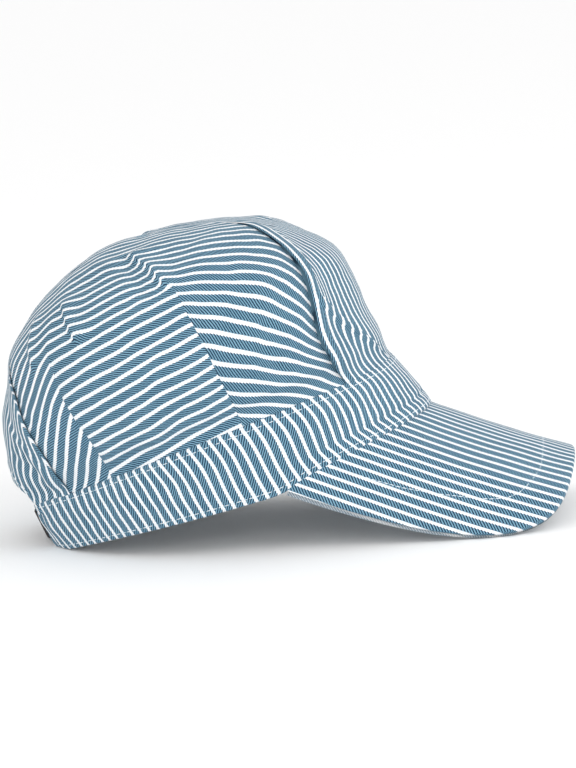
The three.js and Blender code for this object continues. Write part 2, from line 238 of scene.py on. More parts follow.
def band_reach(share, inset):
    return (
        BAND_FRONT - BAND_LEAN_FRONT * share - inset,
        BAND_BACK + BAND_LEAN_BACK * share - inset,
        BAND_SIDE + BAND_LEAN_SIDE * share - inset,
    )


def band_point(angle, share, inset, z):
    front, back, side = band_reach(share, inset)
    return oval(angle, front, back, side, BAND_ROUNDNESS, z)


BAND_END = 180 - degrees(asin((ARCH_HALF_WIDTH / BAND_SIDE) ** (BAND_ROUNDNESS / 2)))
CORNER_X = float(band_point(VISOR_CORNER, 0, 0, 0)[0])
VISOR_RADIUS = CORNER_X / sin(radians(VISOR_BEND))
VISOR_HALF_ARC = VISOR_RADIUS * radians(VISOR_BEND)
DROP_SINE = sin(radians(VISOR_DROP))
DROP_COSINE = cos(radians(VISOR_DROP))


def visor_point(arc, forward, depth):
    turn = np.asarray(arc) / VISOR_RADIUS
    curl = VISOR_CURL * (np.maximum(forward, 0) / VISOR_LENGTH) ** 2
    out = (VISOR_RADIUS - depth) * np.cos(turn) - VISOR_RADIUS + curl
    return np.stack(np.broadcast_arrays(
        (VISOR_RADIUS - depth) * np.sin(turn),
        -BAND_FRONT - forward * DROP_COSINE - out * DROP_SINE,
        -VISOR_BELOW_BAND - forward * DROP_SINE + out * DROP_COSINE,
    ), -1)


def visor_root(arc, inset):
    across = VISOR_RADIUS * np.sin(np.asarray(arc) / VISOR_RADIUS)
    front, _, side = band_reach(0, inset)
    share = np.clip(np.abs(across) / side, 0, 1)
    wall = -front * (1 - share ** BAND_ROUNDNESS) ** (1 / BAND_ROUNDNESS)
    sag = VISOR_RADIUS * (1 - np.cos(np.asarray(arc) / VISOR_RADIUS))
    return (sag * DROP_SINE - BAND_FRONT - wall) / DROP_COSINE


CORNER_ROOT = float(visor_root(VISOR_HALF_ARC, 0))


def visor_reach(arc):
    share = np.clip(np.abs(arc) / VISOR_HALF_ARC, 0, 1)
    return mix(CORNER_ROOT, VISOR_LENGTH, (1 - share ** VISOR_SQUARENESS) ** VISOR_FULLNESS)


def visor_top_under_band(angle, inset):
    _, _, side = band_reach(0, inset)
    across = side * np.abs(np.sin(np.radians(angle))) ** (2 / BAND_ROUNDNESS)
    limit = VISOR_RADIUS * sin(radians(VISOR_BEND))
    arc = VISOR_RADIUS * np.arcsin(np.minimum(across, limit) / VISOR_RADIUS)
    return visor_point(arc, visor_root(arc, inset), 0)[..., 2]


def hanging_bottom(angle, inset):
    turn = np.abs(angle)
    on_visor = visor_top_under_band(np.minimum(turn, VISOR_CORNER), inset) + SEAM_GAP
    cosine = np.cos(np.radians(np.maximum(turn, 90)))
    span = np.clip((turn - VISOR_CORNER) / (BAND_END - VISOR_CORNER), 0, 1)
    plain = BAND_BACK_RISE * cosine * cosine - BAND_SIDE_DIP + BAND_SIDE_BOW * np.sin(pi * span)
    return mix(on_visor, plain, smooth(VISOR_CORNER, VISOR_CORNER + CORNER_BLEND, turn))


def height_when_pitched(point, pitch):
    return point[..., 2] * np.cos(pitch) - point[..., 1] * np.sin(pitch)


def lowest_of_visor(pitch):
    # samples that lie closer together towards the corner
    arc = VISOR_HALF_ARC * (1 - (1 - np.arange(0, 1, 0.01)) ** 2.2)
    return height_when_pitched(visor_point(arc, visor_reach(arc), VISOR_DEPTH), pitch).min()


def rest_pitch():
    heel = band_point(BAND_END, 0, 0, hanging_bottom(BAND_END, 0))
    low, high = 0.0, pi / 4
    for _ in range(40):
        middle = (low + high) / 2
        if lowest_of_visor(middle) < height_when_pitched(heel, middle) + HEEL_PRESS:
            low = middle
        else:
            high = middle
    return low


PITCH = rest_pitch()
FLOOR_LEVEL = lowest_of_visor(PITCH)


def band_bottom(angle, inset):
    y = band_point(angle, 0, inset, 0)[..., 1]
    floor = (FLOOR_LEVEL + y * sin(PITCH)) / cos(PITCH)
    return np.maximum(hanging_bottom(angle, inset), floor)


# Whole cap: from the band's frame in mm to the rest frame in metres

def pitched(points):
    points = np.asarray(points, float)
    sine, cosine = sin(PITCH), cos(PITCH)
    x, y, z = points[..., 0], points[..., 1], points[..., 2]
    return np.stack([x, y * cosine + z * sine, z * cosine - y * sine], -1)


TIP_ARC = np.linspace(-60, 60, 241)
TIP_Y = float(pitched(visor_point(TIP_ARC, visor_reach(TIP_ARC), 0))[:, 1].min())
SHIFT = np.array([0.0, cad_low.y / MM - TIP_Y, -FLOOR_LEVEL])


def to_rest(points):
    """Points in the rest frame in metres; nothing goes below the surface that the cap rests on."""
    rest = (pitched(points) + SHIFT) * MM
    rest[..., 2] = np.maximum(rest[..., 2], 0)
    return rest


# Crown form

def crown_point(angle, up):
    angle, up = np.broadcast_arrays(np.asarray(angle, float), np.asarray(up, float))
    top = band_top(angle)
    inside = band_reach(1, CROWN_INSET)
    edge = band_reach(1, 0)
    climb = np.maximum(up, 0)
    rise, middle, ahead, behind, side, square = np.moveaxis(spline_rows(SECTIONS, climb), -1, 0)
    free = smooth(0, 1 / (len(SECTIONS) - 1), climb)
    z = top + (BAND_HEIGHT + CROWN_HEIGHT - top) * rise
    point = oval(angle, mix(inside[0], edge[0] * ahead, free), mix(inside[1], edge[1] * behind, free),
                 mix(inside[2], edge[2] * side, free), BAND_ROUNDNESS * square, z)
    point[..., 1] += edge[1] * middle
    return point


def crown_normal(angle, up):
    low = np.clip(up, 0, 0.98)
    around = crown_point(angle + 0.5, low) - crown_point(angle - 0.5, low)
    climb = crown_point(angle, low + 0.004) - crown_point(angle, np.maximum(low - 0.004, 0))
    # straight up at the top, where the rows of the form meet
    return unit(mix(unit(np.cross(around, climb)), Z_AXIS, smooth(0.93, 1, up)[..., None]))


def line_angle(line, up):
    """A line's angle at a height share, along a smooth curve through the table's rows."""
    heights, angles = LINES[:, 0], LINES[:, line]
    slopes = np.gradient(angles, heights)
    place = np.clip(up, 0, 1)
    k = np.clip(np.searchsorted(heights, place) - 1, 0, len(heights) - 2)
    step = heights[k + 1] - heights[k]
    t = (place - heights[k]) / step
    return ((2 * t**3 - 3 * t**2 + 1) * angles[k] + (t**3 - 2 * t**2 + t) * step * slopes[k]
            + (3 * t**2 - 2 * t**3) * angles[k + 1] + (t**3 - t**2) * step * slopes[k + 1])


def arch_height(angle):
    """Height of the crown's lower edge over the band's top, at the opening in the back."""
    across = np.abs(band_point(angle, 1, 0, 0)[..., 0]) / ARCH_HALF_WIDTH
    inside = (np.abs(angle) > 90) & (across < 1)
    return np.where(inside, ARCH_HEIGHT * np.sqrt(np.clip(1 - across * across, 0, 1)), 0)


# Stripe plan: on one half of the crown, U runs across the stripes and V along them, both in mm. They
# are the smoothest plan whose stripes follow the table of directions, with the cloth parted at the
# pleat, darts and gather.

PANELS = ["front", "side", "diagonal", "back", "rear", "low_front"]
PLAN_STEPS = {"front": 24, "side": 26, "diagonal": 26, "back": 14, "rear": 16, "low_front": 20}
PLAN_ROWS = 72
PLAN_TOP = 0.985
ACROSS_WEIGHT = 0.5
WARP_WEIGHT = 0.3
SOLVER_STEPS = 2500

# How much closer together the stripes run where a panel's cloth is gathered
CROWDING = {"front": 1.3, "side": 1.0, "diagonal": 1.0, "back": 1.0, "rear": 1.6, "low_front": 1.3}

# Shares across the rear panel between which its stripes turn away from the gather
REAR_TURN = (0.08, 0.22)

# Height shares between which all stripes turn to run straight back over the top
TOP_TURN = (0.72, 0.9)


def strip_line(up):
    """Angle of the line between the front panel and the strip along the pleat's fold."""
    pleat = line_angle(PLEAT, up)
    step = norm(crown_point(pleat, up) - crown_point(pleat - 1, up))
    return np.maximum(pleat - np.interp(up, STRIP_HEIGHTS, STRIP_WIDTHS) / np.maximum(step, 0.3), 0)


def crease_height(share):
    return np.interp(share, CREASE_SHARES, CREASE_HEIGHTS)


def first_share(panel):
    """The cloth below the crease begins beside the centre line, where the crease has some height."""
    return CREASE_SHARES[1] if panel == "low_front" else 0.0


def panel_angle(panel, share, up):
    if panel == "strip":
        return mix(strip_line(up), line_angle(PLEAT, up), share)
    if panel in ("front", "low_front"):
        return share * strip_line(up)
    index = PANELS.index(panel)
    start = line_angle(index, up)
    end = 180.0 if panel == "rear" else line_angle(index + 1, up)
    return mix(start, end, share)


def panel_ends(panel, share):
    """Height shares between which a panel's stripe plan runs."""
    low = crease_height(share) if panel == "front" else 0 * share
    high = np.maximum(crease_height(share), 0.004) if panel == "low_front" else PLAN_TOP + 0 * share
    return low, high


def stripe_way(panel, share, up):
    """Angle of the stripes from the table."""
    table = np.array(STRIPE_WAY[panel], float).T
    rows = np.interp(up, STRIPE_HEIGHTS, np.arange(len(STRIPE_HEIGHTS)))
    return between(table, np.clip(share, 0, 1) * (table.shape[0] - 1), rows)


def plan_grid(panel):
    """Places of a panel's plan: share across it and height share up the crown."""
    shares = np.linspace(first_share(panel), 1, PLAN_STEPS[panel] + 1)[:, None]
    steps = np.linspace(0, 1, PLAN_ROWS + 1)[None, :]
    return shares + 0 * steps, mix(*panel_ends(panel, shares), steps)


def plan_numbers():
    """A number for each place of the plan, shared where the cloth isn't parted."""
    number = {}
    count = 0
    for index, panel in enumerate(PANELS):
        shares, heights = plan_grid(panel)
        ids = np.zeros(shares.shape, int)
        joined_on = 0 < index < 5
        for i in range(shares.shape[0]):
            for j in range(shares.shape[1]):
                if joined_on and i == 0 and heights[i, j] > OPEN_TO[index]:
                    ids[i, j] = number[PANELS[index - 1]][-1, j]
                else:
                    ids[i, j] = count
                    count += 1
        number[panel] = ids
    return number, count


def panel_fit(panel, ids):
    """Rows of the least-squares fit for one panel: slopes along and across the wished direction."""
    shares, heights = plan_grid(panel)
    points = crown_point(panel_angle(panel, shares, heights), heights)
    a = (points[1:, :-1] + points[1:, 1:] - points[:-1, :-1] - points[:-1, 1:]) / 2
    b = (points[:-1, 1:] + points[1:, 1:] - points[:-1, :-1] - points[1:, :-1]) / 2
    area = norm(np.cross(a, b))
    normal = unit(np.cross(a, b))
    level = unit(np.cross(Z_AXIS, normal))
    level *= np.sign(dot(level, a))[..., None]
    upward = np.cross(normal, level)
    upward *= np.sign(upward[..., 2:3] + TINY)
    mid_share = (shares[1:, :-1] + shares[:-1, :-1]) / 2
    mid_up = (heights[1:, 1:] + heights[:-1, :-1]) / 2
    way = np.radians(stripe_way(panel, mid_share, mid_up))[..., None]
    along = np.cos(way) * level + np.sin(way) * upward
    back = unit(np.array([0, 1.0, 0]) - normal[..., 1:2] * normal)
    if panel == "rear":
        # beside the gather's fold the stripes run along it
        along = mix(unit(-b), along, smooth(*REAR_TURN, mid_share)[..., None])
    along = unit(mix(along, back, smooth(*TOP_TURN, mid_up)[..., None]))
    across = np.cross(along, normal)
    aa, ab, bb = dot(a, a), dot(a, b), dot(b, b)
    det = np.maximum(aa * bb - ab * ab, 1e-6)
    size = np.sqrt(area + TINY)
    corner = np.stack([ids[:-1, :-1], ids[1:, :-1], ids[1:, 1:], ids[:-1, 1:]], -1)
    di = np.array([-0.5, 0.5, 0.5, -0.5])
    dj = np.array([-0.5, -0.5, 0.5, 0.5])
    slopes = []
    for vector in (along, across):
        ta, tb = dot(vector, a), dot(vector, b)
        alpha, beta = (bb * ta - ab * tb) / det, (aa * tb - ab * ta) / det
        slopes.append((size[..., None] * (alpha[..., None] * di + beta[..., None] * dj)).reshape(-1, 4))
    # a small cost on each cell's warp, which keeps neighbouring rows from swinging against each other
    slopes.append(np.tile(WARP_WEIGHT * np.array([1.0, -1.0, 1.0, -1.0]), (size.size, 1)))
    return corner.reshape(-1, 4), slopes, size.ravel()


def least_squares(index, value, target, start, held):
    """Values at the plan's places that best fit the rows, by conjugate gradients."""

    def gather(rows):
        return np.bincount(index.ravel(), (value * rows[:, None]).ravel(), len(start))

    def apply(v):
        return gather((v[index] * value).sum(1))

    free = np.where(held, 0.0, 1.0)
    x = start.copy()
    scale = np.bincount(index.ravel(), (value**2).ravel(), len(start)) + TINY
    rest = (gather(target) - apply(x)) * free
    z = rest / scale
    step = z.copy()
    rz = rest @ z
    for _ in range(SOLVER_STEPS):
        image = apply(step) * free
        alpha = rz / (step @ image + 1e-30)
        x += alpha * step
        rest -= alpha * image
        z = rest / scale
        new = rest @ z
        step = z + new / rz * step
        rz = new
        if rz < 1e-9:
            break
    return x


def solve_plan():
    number, count = plan_numbers()
    fits = [panel_fit(panel, number[panel]) for panel in PANELS]
    index = np.concatenate([fit[0] for fit in fits] * 3)
    along, across, warp = (np.concatenate([fit[1][k] for fit in fits]) for k in range(3))
    size = np.concatenate([fit[2] for fit in fits])
    crowded = np.concatenate([fit[2] * CROWDING[panel] for panel, fit in zip(PANELS, fits)])
    none = 0 * size
    start = np.zeros(count)
    held = np.zeros(count, bool)
    held[number["front"][0]] = True
    held[number["rear"][-1]] = True
    for panel in ("front", "low_front"):
        _, heights = plan_grid(panel)
        pinned = heights[-1] < STRIP_JOINED_TO
        edge = number[panel][-1][pinned]
        start[edge] = FOLD_U - np.interp(heights[-1], STRIP_HEIGHTS, STRIP_WIDTHS)[pinned]
        held[edge] = True
    u = least_squares(index, np.concatenate([along, ACROSS_WEIGHT * across, warp]),
                      np.concatenate([none, ACROSS_WEIGHT * crowded, none]), start, held)
    corners = np.zeros(count, bool)
    corners[[number["front"][0, 0], number["low_front"][0, 0]]] = True
    v = least_squares(index, np.concatenate([along, across, warp]),
                      np.concatenate([size, none, none]), np.zeros(count), corners)
    return {panel: (u[number[panel]], v[number[panel]]) for panel in PANELS}


PLAN = solve_plan()
# V at the crown's highest point, where U is 0
V_AT_TOP = float(np.mean([PLAN[panel][1][:, -1].mean() for panel in PANELS[:5]]))


def plan_at(panel, share, up):
    """U and V of the cloth at places of a panel."""
    if panel == "strip":
        away = norm(crown_point(line_angle(PLEAT, up), up) - crown_point(panel_angle(panel, share, up), up))
        _, v = plan_at("front", np.ones_like(up), np.maximum(up, crease_height(1.0)))
        return FOLD_U - away, v + np.minimum(up - crease_height(1.0), 0) * CROWN_HEIGHT
    first = first_share(panel)
    low, high = panel_ends(panel, share)
    across = np.clip((share - first) / (1 - first), 0, 1) * PLAN_STEPS[panel]
    rows = np.clip((up - low) / (high - low), 0, 1) * PLAN_ROWS
    over = np.clip((up - PLAN_TOP) / (1 - PLAN_TOP), 0, 1)
    return [mix(between(plan, across, rows), end, over) for plan, end in zip(PLAN[panel], (0.0, V_AT_TOP))]


# Folds and crumples

def ripple(points, seed, longest, shortest, terms=12):
    """Smooth random-looking height between -1 and 1, as a sum of waves through space."""
    rng = np.random.default_rng(seed)
    total = np.zeros(points.shape[:-1])
    for _ in range(terms):
        direction = rng.normal(size=3)
        direction /= norm(direction)
        wave = shortest + (longest - shortest) * rng.random()
        total += np.sin(points @ direction * 2 * pi / wave + 2 * pi * rng.random())
    return total / sqrt(terms)


def bump(distance, ahead, behind):
    reach = np.where(distance < 0, ahead, behind)
    return np.exp(-(distance / reach) ** 2)


# Each fold on a half of the crown follows a path of (angle, height share), low to high. Then come the
# mm that it stands out, and the reaches ahead of the path and behind it over which it falls away. Last
# come the mm by which the stripes are shifted down there, and their own two reaches.
FOLDS = [
    ([(9, 0.03), (19.8, 0.136), (28.7, 0.232), (35.7, 0.318), (38.5, 0.36)], (1.5, 9.0, 1.3), (0, 1, 1)),
    ([(79, 0.60), (80, 0.651), (80, 0.732), (82, 0.804), (80, 0.853), (67, 0.899)],
     (1.7, 7.0, 1.3), (4.0, 1.3, 8.0)),
    ([(86, 0.60), (86, 0.70), (87, 0.77), (88, 0.84)], (-1.2, 3.0, 4.0), (0, 1, 1)),
    ([(89, 0.66), (89, 0.73), (90, 0.79), (92, 0.86), (97, 0.92)], (0.9, 3.0, 4.0), (1.6, 3.0, 4.0)),
    ([(60, 0.815), (68, 0.828), (72, 0.844), (80, 0.852)], (1.0, 3.5, 1.6), (1.5, 3.0, 3.0)),
    ([(112, 0.52), (115, 0.583), (120, 0.659), (124, 0.706), (131, 0.756)],
     (1.3, 6.0, 1.3), (-2.2, 8.0, 1.6)),
    ([(136, 0.47), (138, 0.536), (143, 0.607), (146, 0.659), (152, 0.72)],
     (1.0, 4.0, 1.6), (-1.6, 5.0, 1.5)),
    ([(54, 0.25), (57, 0.291), (59, 0.326), (61, 0.37)], (-0.8, 3.0, 2.0), (0.5, 5.0, 4.0)),
    ([(42, 0.03), (48, 0.124), (54, 0.182), (59, 0.24)], (-1.0, 2.2, 3.5), (-0.6, 4.0, 5.5)),
    ([(59, 0.12), (61, 0.178), (63, 0.236), (65, 0.30)], (-0.6, 2.0, 3.0), (0.5, 4.0, 5.0)),
    ([(95, 0.03), (99, 0.123), (104, 0.173), (110, 0.22)], (-0.6, 3.0, 3.0), (0.7, 4.0, 4.0)),
    ([(140, 0.0), (139.3, 0.064), (139.3, 0.142), (143.8, 0.239), (152.5, 0.304), (160, 0.36)],
     (1.3, 1.8, 5.0), (-0.5, 3.0, 5.0)),
    ([(142, 0.08), (145, 0.155), (151, 0.194), (160, 0.24)], (-1.0, 3.0, 4.0), (0.4, 4.0, 5.0)),
    ([(136, 0.24), (141, 0.334), (149, 0.413), (156, 0.46)], (-0.7, 3.5, 3.0), (0.3, 4.0, 4.0)),
    ([(22, 0.06), (27, 0.13), (31, 0.19), (34.5, 0.27)], (-0.8, 3.0, 2.5), (0, 1, 1)),
]
FOLD_SAMPLES = 48
FOLD_FADE = 0.22


def fold_samples(path):
    table = np.array(path, float)
    place = np.linspace(0, len(table) - 1, FOLD_SAMPLES)
    angles, ups = (np.interp(place, np.arange(len(table)), column) for column in table.T)
    points = crown_point(angles, ups)
    return points, unit(np.gradient(points, axis=0))


def fold_distance(path, points, normals):
    """Distance behind a fold's path at each point, less ahead of it, and the fold's strength there."""
    samples, along = fold_samples(path)
    spacing = norm(np.diff(samples, axis=0)).mean()
    offset = points[..., None, :] - samples
    nearest = (offset**2).sum(-1).argmin(-1)
    near = np.take_along_axis(offset, nearest[..., None, None], -2)[..., 0, :]
    way = along[nearest]
    past = dot(near, way)
    side = near - past[..., None] * way
    over = np.maximum(np.abs(past) - spacing, 0)
    distance = np.sqrt(dot(side, side) + over**2)
    sign = np.sign(dot(np.cross(side, way), normals))
    place = nearest / (FOLD_SAMPLES - 1)
    return sign * distance, smooth(0, FOLD_FADE, place) * (1 - smooth(1 - FOLD_FADE, 1, place))


def crumple(points, normals):
    """Height of the folds and how far they shift the stripes."""
    height = 0.3 * ripple(points, 3, 46, 20) + 0.1 * ripple(points, 5, 16, 8)
    shift = 0.32 * ripple(points, 11, 44, 18) + 0.1 * ripple(points, 13, 14, 7)
    for path, (lift, *reach), (drop, *drop_reach) in FOLDS:
        distance, strength = fold_distance(path, points, normals)
        height += lift * strength * bump(distance, *reach)
        shift -= drop * strength * bump(distance, *drop_reach)
    return height, shift


# Mesh building

def new_piece(name, points, faces, uv, material):
    """Smooth-shaded piece from points in the band's frame, with a UV in mm at each corner of its faces."""
    mesh = bpy.data.meshes.new(name)
    mesh.from_pydata(to_rest(points).reshape(-1, 3).tolist(), [], faces)
    layer = mesh.uv_layers.new(name="cloth")
    layer.data.foreach_set("uv", uv.astype(np.float32).ravel())
    mesh.polygons.foreach_set("use_smooth", np.ones(len(faces), bool))
    mesh.materials.append(material)
    mesh.update()
    piece = bpy.data.objects.new(name, mesh)
    bpy.context.scene.collection.objects.link(piece)
    return piece


def grid_mesh(name, points, uv, material, flip=False):
    """A piece from a grid of points, with a UV at each."""
    columns, rows = points.shape[:2]
    index = np.arange(columns * rows).reshape(columns, rows)
    a, b = index[:-1], index[1:]
    quads = np.stack([a[:, :-1], b[:, :-1], b[:, 1:], a[:, 1:]], -1).reshape(-1, 4)
    if flip:
        quads = quads[:, ::-1]
    return new_piece(name, points, quads.tolist(), uv.reshape(-1, 2)[quads.ravel()], material)


def joined(pieces, name):
    for piece in bpy.context.selected_objects:
        piece.select_set(False)
    for piece in pieces:
        piece.select_set(True)
    bpy.context.view_layer.objects.active = pieces[0]
    bpy.ops.object.join()
    pieces[0].name = name
    pieces[0].data.name = name
    return pieces[0]


STITCH_LENGTH = 2.5
STITCH_STEP = 3.3
STITCH_WIDTH = 0.46
STITCH_LIFT = 0.14
STITCH_SUNK = 0.08
STITCH_SIDES = 6
STITCH_STATIONS = 6
THREAD_PER_SIDE = 0.25


def stitch_row(name, path, normals):
    """A row of raised stitches along a path in the band's frame."""
    lengths = np.concatenate([[0], np.cumsum(norm(np.diff(path, axis=0)))])
    count = int(lengths[-1] / STITCH_STEP)
    starts = (np.arange(count) + 0.5) * lengths[-1] / count - STITCH_LENGTH / 2
    shares = np.linspace(0, 1, STITCH_STATIONS)
    at = (starts[:, None] + shares * STITCH_LENGTH).ravel()

    def read(vectors):
        return np.stack([np.interp(at, lengths, vectors[:, k]) for k in range(3)], -1)

    normal = unit(read(normals))
    beside = unit(np.cross(normal, read(np.gradient(path, lengths, axis=0))))
    arch = np.tile(np.sin(pi * shares), count)[:, None]
    # each stitch is thinnest at its ends
    radius = STITCH_WIDTH / 2 * np.tile(np.sin(pi * (0.08 + 0.84 * shares)) ** 0.5, count)[:, None]
    centre = read(path) + normal * (STITCH_LIFT * arch - STITCH_SUNK)
    turns = np.linspace(0, 2 * pi, STITCH_SIDES, endpoint=False)
    rings = np.stack([centre + radius * (cos(t) * beside + sin(t) * normal) for t in turns], 1)
    index = np.arange(len(at) * STITCH_SIDES).reshape(count, STITCH_STATIONS, STITCH_SIDES)
    following = np.roll(index, -1, axis=2)
    quads = np.stack([index[:, :-1], following[:, :-1], following[:, 1:], index[:, 1:]], -1).reshape(-1, 4)
    faces = quads.tolist() + index[:, 0, ::-1].tolist() + index[:, -1].tolist()
    corners = np.concatenate(faces)
    place = [corners % STITCH_SIDES * THREAD_PER_SIDE, np.repeat(at, STITCH_SIDES)[corners]]
    return new_piece(name, rings, faces, np.stack(place, -1), THREAD)


# Materials

class Weave:
    """Nodes of one cloth's material. Their inputs are numbers, colours or other nodes' outputs."""

    def __init__(self, name, **looks):
        self.material = bpy.data.materials.new(name)
        self.material.use_nodes = True
        self.shader = self.material.node_tree.nodes["Principled BSDF"]
        for socket, value in looks.items():
            self.shader.inputs[socket.replace("_", " ")].default_value = value
        self.cloth = self.add("ShaderNodeUVMap", {}, "UV", uv_map="cloth")
        self.u = self.add("ShaderNodeSeparateXYZ", {0: self.cloth}, "X")
        self.v = self.add("ShaderNodeSeparateXYZ", {0: self.cloth}, "Y")

    def add(self, kind, inputs, output=0, **settings):
        node = self.material.node_tree.nodes.new(kind)
        for name, value in settings.items():
            setattr(node, name, value)
        for socket, value in inputs.items():
            if isinstance(value, bpy.types.NodeSocket):
                self.material.node_tree.links.new(value, node.inputs[socket])
            else:
                node.inputs[socket].default_value = value
        return node.outputs[output]

    def maths(self, operation, *values):
        return self.add("ShaderNodeMath", dict(enumerate(values)), operation=operation)

    def plus(self, a, b):
        return self.maths("ADD", a, b)

    def less(self, a, b):
        return self.maths("SUBTRACT", a, b)

    def times(self, a, b):
        return self.maths("MULTIPLY", a, b)

    def mix(self, share, a, b):
        """A mix of two colours."""
        return self.add("ShaderNodeMix", {0: share, 6: a, 7: b}, 2, data_type="RGBA")

    def ramp(self, value, low, high):
        return self.add("ShaderNodeMapRange", {"Value": value, "From Min": low, "From Max": high}, "Result",
                        interpolation_type="SMOOTHSTEP")

    def noise(self, scale, detail, stretch=None):
        """Noise over the cloth, finer along an axis that is stretched."""
        place = self.cloth
        if stretch:
            place = self.add("ShaderNodeVectorMath", {0: place, 1: stretch}, operation="MULTIPLY")
        return self.add("ShaderNodeTexNoise", {"Scale": scale, "Detail": detail, "Vector": place}, "Fac")

    def finish(self, colour, height, strength, distance):
        """Gives the cloth its colour and a bump of some mm."""
        depth = {"Strength": strength, "Distance": distance * MM, "Height": height}
        bumps = self.add("ShaderNodeBump", depth)
        self.material.node_tree.links.new(colour, self.shader.inputs["Base Color"])
        self.material.node_tree.links.new(bumps, self.shader.inputs["Normal"])
        return self.material


# Twill lines: their turn from the stripes in degrees and their spacing in mm
TWILL_TURN = 38.0
TWILL_PERIOD = 1.12
VISOR_TWILL_TURN = 47.0
VISOR_TWILL_PERIOD = 1.32
TWILL_DARK = (0.002, 0.018, 0.050, 1)
TWILL_LIGHT = (0.195, 0.375, 0.495, 1)
TWILL_FADED = (0.25, 0.39, 0.47, 1)
TWILL_DEEP = (0.02, 0.085, 0.15, 1)
WHITE_SHADE = (0.70, 0.74, 0.78, 1)
WHITE_LIGHT = (0.96, 0.96, 0.96, 1)
REVERSE_SHADE = (0.30, 0.38, 0.45, 1)
REVERSE_LIGHT = (0.74, 0.78, 0.81, 1)
REVERSE_FADED = (0.22, 0.32, 0.40, 1)
REVERSE_WHITE_SHADE = (0.66, 0.69, 0.72, 1)
REVERSE_WHITE_LIGHT = (0.90, 0.90, 0.90, 1)
FADED_SHARE = 0.30
DEEP_SHARE = 0.18
REVERSE_FADED_SHARE = 0.5
STRIPE_EDGE = 0.02
# How far a stripe's edge is moved by the twill lines and by the flecks, in mm
EDGE_BY_WAVE = 0.13
EDGE_BY_FLECK = 0.2
LINE_BY_FLECK = 1.4
TWILL_SWAY = 0.5


def striped_twill(name, pitch, white_share, turn=TWILL_TURN, period=TWILL_PERIOD, reverse=False):
    """Blue twill with white stripes along V, or its reverse, which shows the pale side of the weave."""
    w = Weave(name, Roughness=0.92, Specular_IOR_Level=0.2, Sheen_Weight=0.06, Sheen_Roughness=0.5)
    turn = radians(turn)
    sway = w.times(w.less(w.noise(0.35, 2), 0.5), TWILL_SWAY)
    diagonal = w.less(w.times(w.u, cos(turn)), w.times(w.v, sin(turn)))
    wave = w.maths("SINE", w.times(w.plus(diagonal, sway), 2 * pi / period))
    # the yarns of the weave are short floats along each twill line
    yarn = w.noise(1.0, 3, (2.6, 0.8, 1))
    fleck = w.less(w.noise(2.6, 1), 0.5)
    patch = w.noise(0.045, 3)
    line = w.ramp(w.plus(wave, w.times(fleck, LINE_BY_FLECK)), -0.6, 0.7)
    if reverse:
        pale = w.mix(line, REVERSE_SHADE, REVERSE_LIGHT)
        ground = w.mix(w.times(w.ramp(yarn, 0.45, 0.7), REVERSE_FADED_SHARE), pale, REVERSE_FADED)
        white = w.mix(line, REVERSE_WHITE_SHADE, REVERSE_WHITE_LIGHT)
    else:
        blue = w.mix(line, TWILL_DARK, TWILL_LIGHT)
        faded = w.mix(w.times(w.ramp(yarn, 0.5, 0.8), FADED_SHARE), blue, TWILL_FADED)
        ground = w.mix(w.times(w.ramp(patch, 0.35, 0.7), DEEP_SHARE), faded, TWILL_DEEP)
        white = w.mix(line, WHITE_SHADE, WHITE_LIGHT)
    # the stripe's edges are stepped by the twill lines
    stepped = w.plus(w.u, w.plus(w.times(wave, EDGE_BY_WAVE), w.times(fleck, EDGE_BY_FLECK)))
    edge = 0.5 - white_share / 2
    stripe = w.ramp(w.maths("PINGPONG", w.maths("DIVIDE", stepped, pitch), 0.5),
                    edge - STRIPE_EDGE, edge + STRIPE_EDGE)
    height = w.plus(w.times(wave, 0.5), w.times(yarn, 0.8))
    return w.finish(w.mix(stripe, ground, white), height, 0.45, 0.14)


def plain_weave(name, dark, light, period, height):
    """One colour of yarn in a fine rib, for webbing and thread."""
    w = Weave(name, Roughness=0.9, Specular_IOR_Level=0.25)
    wave = w.maths("SINE", w.times(w.times(w.plus(w.u, w.v), 0.7), 2 * pi / period))
    share = w.plus(w.times(w.ramp(wave, -0.8, 0.8), 0.6), w.times(w.noise(1.6, 2), 0.4))
    return w.finish(w.mix(share, dark, light), share, 0.5, height)


CROWN_CLOTH = striped_twill("crown_twill", CROWN_PITCH, 0.31)
BAND_CLOTH = striped_twill("band_twill", BAND_PITCH, 0.31)
VISOR_CLOTH = striped_twill("visor_twill", VISOR_PITCH, 0.32, VISOR_TWILL_TURN, VISOR_TWILL_PERIOD)
REVERSE_CLOTH = striped_twill("reverse_twill", CROWN_PITCH, 0.31, reverse=True)
WEBBING = plain_weave("webbing", (0.012, 0.011, 0.013, 1), (0.05, 0.045, 0.05, 1), 1.2, 0.25)
THREAD = plain_weave("thread", (0.60, 0.70, 0.76, 1), (0.88, 0.92, 0.94, 1), 0.8, 0.1)

# Crown pieces: how far the folds stand out in mm, over how many mm they fall away, the share of a
# lift that is left there, and the sizes of the rolled edges and the hem

PLEAT_LIFT = 3.0
PLEAT_REACH = 16.0
PLEAT_KEPT = 0.15
PLEAT_HOLLOW = 1.3
PLEAT_HOLLOW_REACH = 9.0
GATHER_LIFT = 2.2
GATHER_REACH = 18.0
GATHER_KEPT = 0.1
DART_DEPTH = 1.3
DART_REACH = 2.2
CLOTH_ROLL = 0.8
CLOTH_IN = 0.5
HEM_WIDTH = 6.0
HEM_EDGE = 0.8
HEM_LIFT = 0.5
HEM_STITCH_INSET = 1.4
INSIDE_CLEARANCE = 2.2

# Share of each fold that is left at the band, and the height shares over which it grows and closes
FOLD_AT_BAND = {PLEAT: 0.35, SIDE_DART: 0.2, BACK_DART: 0.2, GATHER: 0.35}
FOLD_GROWS = 0.1
FOLD_CLOSES = 0.16

# The pleat loses a share of its lift between two height shares
PLEAT_LOSS = 0.45
PLEAT_LOSS_HEIGHTS = (0.42, 0.62)

